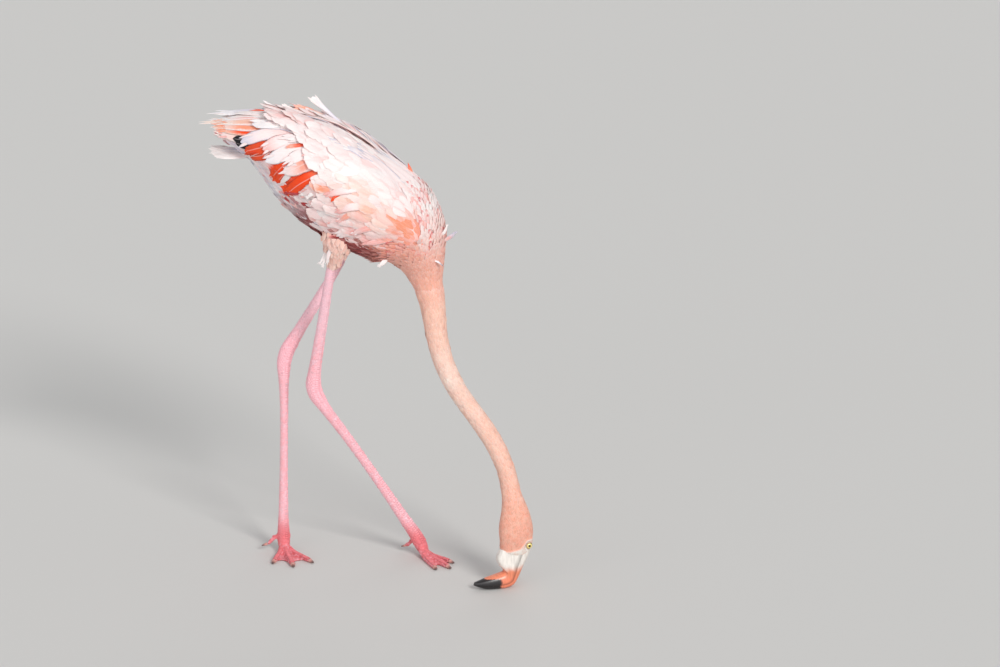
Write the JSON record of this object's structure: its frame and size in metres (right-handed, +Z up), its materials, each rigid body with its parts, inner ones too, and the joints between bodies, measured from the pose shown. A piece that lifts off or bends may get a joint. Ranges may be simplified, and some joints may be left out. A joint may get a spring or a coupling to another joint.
{
  "type": "flamingo",
  "caption": "Life-size museum model of a wading American flamingo feeding with its head down, in pink plumage.",
  "frame": {"origin": "middle of the bird's bounding box, on the floor it stands on", "axes": "+X the way the bird faces, +Y its left side, +Z up"},
  "size_m": [0.5406, 0.2174, 0.7713],
  "materials": {
    "body_plumage": "soft pale pink feathers",
    "neck_plumage": "short dense salmon feathers",
    "wing_coverts": "layered pink and orange-red feathers",
    "long_plumes": "long pale pink to orange feathers",
    "flight_feathers": "smooth black feathers",
    "tail_feathers": "pale feathers with grey centres",
    "leg_skin": "scaly skin, satin",
    "foot_skin": "fine scaly skin, satin",
    "claw_horn": "horn, satin",
    "bill_horn": "horn, pale base, pink-orange middle, black tip",
    "eye": "pale yellow iris, wet gloss"
  },
  "bodies": {
    "root": {"trunk": "body_plumage", "neck_1": "neck_plumage", "neck_2": "neck_plumage", "neck_3": "neck_plumage", "neck_4": "neck_plumage", "neck_5": "neck_plumage", "head": "neck_plumage", "eye_left": "eye", "eye_right": "eye", "bill_upper": "bill_horn", "bill_lower": "bill_horn", "wing_left": "wing_coverts", "tertials_left": "long_plumes", "primaries_left": "flight_feathers", "wing_right": "wing_coverts", "tertials_right": "long_plumes", "primaries_right": "flight_feathers", "tail": "tail_feathers", "loose_plume_1": "long_plumes", "loose_plume_2": "long_plumes", "loose_plume_3": "long_plumes", "thigh_right": "body_plumage", "tibia_right": "leg_skin", "ankle_right": "leg_skin", "tarsus_right": "leg_skin", "toe_middle_right": "foot_skin", "claw_middle_right": "claw_horn", "toe_inner_right": "foot_skin", "claw_inner_right": "claw_horn", "toe_outer_right": "foot_skin", "claw_outer_right": "claw_horn", "web_inner_right": "foot_skin", "web_outer_right": "foot_skin", "toe_hind_right": "foot_skin", "claw_hind_right": "claw_horn", "thigh_left": "body_plumage", "tibia_left": "leg_skin", "ankle_left": "leg_skin", "tarsus_left": "leg_skin", "toe_middle_left": "foot_skin", "claw_middle_left": "claw_horn", "toe_inner_left": "foot_skin", "claw_inner_left": "claw_horn", "toe_outer_left": "foot_skin", "claw_outer_left": "claw_horn", "web_inner_left": "foot_skin", "web_outer_left": "foot_skin", "toe_hind_left": "foot_skin", "claw_hind_left": "claw_horn"}
  },
  "joints": []
}
